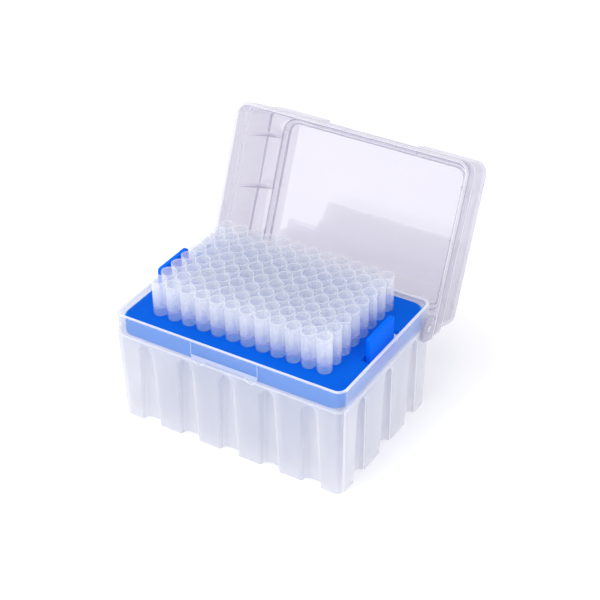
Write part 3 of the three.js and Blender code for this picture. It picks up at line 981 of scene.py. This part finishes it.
def floor_material():
    """Plain pale floor, faintly mottled."""
    material, tree = new_material("studio_floor")
    surface = node(tree, "ShaderNodeBsdfPrincipled")
    surface.inputs["Roughness"].default_value = 0.9
    surface.inputs["Specular IOR Level"].default_value = 0.0
    tree.links.new(tinted(tree, noise(tree, 3, 2.0), *FLOOR_SHADES), surface.inputs["Base Color"])
    surface.inputs["Emission Color"].default_value = (1, 1, 1, 1)
    surface.inputs["Emission Strength"].default_value = FLOOR_GLOW
    output = node(tree, "ShaderNodeOutputMaterial")
    tree.links.new(surface.outputs["BSDF"], output.inputs["Surface"])
    return material


def studio():
    bm = bmesh.new()
    bmesh.ops.create_grid(bm, x_segments=2, y_segments=2, size=FLOOR_HALF)
    floor = as_object(bm, "floor")
    floor.data.materials.append(floor_material())
    floor.location.z = -FLOOR_DROP

    world = bpy.data.worlds.new("studio")
    world.use_nodes = True
    background = world.node_tree.nodes["Background"]
    background.inputs["Color"].default_value = WORLD_COLOUR
    background.inputs["Strength"].default_value = WORLD_STRENGTH
    bpy.context.scene.world = world
    for light in LIGHTS:
        area_light(*light)

    scene = bpy.context.scene
    scene.view_settings.view_transform = "Standard"
    scene.cycles.max_bounces = 24
    scene.cycles.diffuse_bounces = 10
    scene.cycles.transparent_max_bounces = 72

# ---------------------------------------------------------------- assembly

make_camera()
studio()

ACROSS = (Vector((1, 0, 0)), Vector())
DEEP = (Vector((0, 1, 0)), Vector())
UP = (Vector((0, 0, 1)), Vector())
WALL_LEAN = (FOOT_INSET + LEDGE_STEP) / LEDGE_Z
RIGHT_FACE = (Vector((1, 0, -WALL_LEAN)), Vector())
LEFT_FACE = (Vector((-1, 0, -WALL_LEAN)), Vector())
lid_up = SWING.to_3x3() @ Vector((0, 0, 1))
LID_UP = (lid_up, PIVOT - lid_up * PIVOT_Z)


def both_ways(*stops):
    """Stops mirrored to the negative side."""
    return (*((-place, value) for place, value in reversed(stops)), *stops)


def line(low, high, level, soft_low=0.3, soft_high=0.4):
    """Stops of a narrow line of another level than 1, with soft ends."""
    return ((low - soft_low, 1.0), (low, level), (high, level), (high + soft_high, 1.0))


# The tub is whiter at its ledge, rim, catch, side bands and the bottoms of its grooves, and clearer in the
# rest of its upright band. The whiter lines at the ledge, the rim and the catch's face are painted
# highlights, and the whiter groove bottoms are painted light that lifts their shade. BAND_FACE is the side
# bands' face as the leaning directions measure it.
BAND_FACE = (67.0, 67.45)
BAND_LEVEL = 0.25
TUB_HAZE_AND_HIGHLIGHTS = (
    # Painted highlights: whiter lines at the ledge and along the rounded rim.
    (UP, ((0, 1.0), (LEDGE_Z - 0.8, 1.0), (LEDGE_Z - 0.4, 2.0), (LEDGE_Z + 0.45, 2.0),
          (LEDGE_Z + 0.85, BAND_LEVEL), (RIM_Z - 0.7, BAND_LEVEL), (RIM_Z - 0.3, 2.2), (RIM_Z, 2.2))),
    # Painted light: these two make the bottoms of the grooves whiter, to lift the shade in them.
    (ACROSS, both_ways((65, 1.3), (66.9, 0.9), (67.4, 0.95))),
    (DEEP, both_ways((43.4, 1.5), (44.8, 1.0))),
    # Painted highlight on the catch's face.
    (DEEP, ((CATCH_FACE_Y, 7.0), (CATCH_FACE_Y + 0.05, 7.0), (CATCH_FACE_Y + 0.08, 1.0))),
    (RIGHT_FACE, line(*BAND_FACE, 2.6, 0.1, 0.1)),
    (LEFT_FACE, line(*BAND_FACE, 2.6, 0.1, 0.1)),
)
# Painted highlights: the lid's edge and step lines get denser haze in white, for the light their rounded
# edges catch.
LID_HIGHLIGHT_LINES = ((LID_EDGE_Z - 0.3, LID_EDGE_Z + 0.2), (LID_STEP_Z - 0.6, LID_STEP_Z + 0.1))
BOSS_TOP_Z = LID_ROOF_Z + BOSS_HEIGHT
LID_HAZE_AND_HIGHLIGHTS = (
    (LID_UP, (*line(*LID_HIGHLIGHT_LINES[0], 5.0), *line(*LID_HIGHLIGHT_LINES[1], 3.2), (LID_ROOF_Z - 2, 1.0),
              (LID_ROOF_Z - 0.5, 1.4), (BOSS_TOP_Z - 2, 1.4), (BOSS_TOP_Z - 1.6, 0.7))),
)
LID_PAINTED_HIGHLIGHT = ((1.0, 1.0, 1.0), LID_UP, (*line(*LID_HIGHLIGHT_LINES[0], 0.0), *line(*LID_HIGHLIGHT_LINES[1], 0.0),
                                      (LID_ROOF_Z - 2, 1.0), (LID_ROOF_Z - 0.5, 0.5)))
TIP_MILKINESS = (
    (UP, ((SKIRT_LOW_Z, 0.6), (DECK_Z - 4, 0.6), (DECK_Z + 3.8, 0.66), (DECK_Z + 6.2, 1.3),
          (TIP_TOP_Z - 3.5, 1.4), (TIP_TOP_Z - 1.0, 1.0), (TIP_TOP_Z - 0.4, 1.5), (TIP_TOP_Z, 1.6))),
)
DECK_BLUE = ((0.0005, 0.122, 0.67), (0.001, 0.139, 0.75))
# Painted light: the skirt's blue and the core's blue are lighter than the deck's, for light that comes
# through their thin walls.
LIT_SKIRT_BLUE = ((0.001, 0.285, 0.86), (0.002, 0.315, 0.90))
# Painted light: the tabs' blue is lighter than the deck's, for the lamp on the right that falls on their
# outer faces.
LIT_TAB_BLUE = ((0.001, 0.165, 0.92), (0.002, 0.185, 0.97))
LIT_CORE_BLUE = ((0.002, 0.52, 1.0), (
    (DEEP, both_ways((38, 1.0), (40, 0.0))),
    (ACROSS, both_ways((56, 1.0), (58, 0.0))),
))
frosted = clear_plastic("frosted_polypropylene", (0.932, 0.932, 0.95), (0.935, 0.935, 0.955),
                        0.28, 0.7, 0.42, 0.22, haze_and_highlight_stops=TUB_HAZE_AND_HIGHLIGHTS)
lid_clear = clear_plastic("lid_polypropylene", (0.92, 0.905, 0.955), (0.80, 0.785, 0.835),
                          0.1, 0.5, 0.3, 0.06, relief=0.0, haze_and_highlight_stops=LID_HAZE_AND_HIGHLIGHTS, painted_highlight=LID_PAINTED_HIGHLIGHT)
blue = blue_plastic("rack_polypropylene", DECK_BLUE, LIT_SKIRT_BLUE, DECK_Z - 1.0, LIT_CORE_BLUE)
lit_tab_blue = blue_plastic("lit_tab_polypropylene", LIT_TAB_BLUE, LIT_TAB_BLUE, TAB_FOOT_Z)
tip_clear = clear_plastic("tip_polypropylene", (0.985, 0.993, 1.0), (0.99, 0.994, 1.0),
                          0.19, 0.3, 0.3, 0.12, relief=0.02, haze_and_highlight_stops=TIP_MILKINESS)

finished(tub(), "tub", "tub", frosted, "base_tub")
finished(lid(), "hinged_lid", "lid", lid_clear, "lid")
finished(rack(), "rack_deck", "rack", blue, "tip_rack")
finished(tab(-1), "spring_tab_left", "tab_left", lit_tab_blue, "rack_tab_left")
finished(tab(1), "spring_tab_right", "tab_right", lit_tab_blue, "rack_tab_right")
for column, x in enumerate(column_x, 1):
    body = f"front_tip_{column:02d}"
    finished(tips([(x, row_y[0])]), f"tip_a{column:02d}", body, tip_clear, body, TIP_CREASE)
for row, (letter, y) in enumerate(zip("bcdefgh", row_y[1:]), 2):
    body = f"tip_row_{row}"
    whole_row = tips([(x, y) for x in column_x])
    finished(whole_row, f"tips_{letter}", body, tip_clear, body, TIP_CREASE)
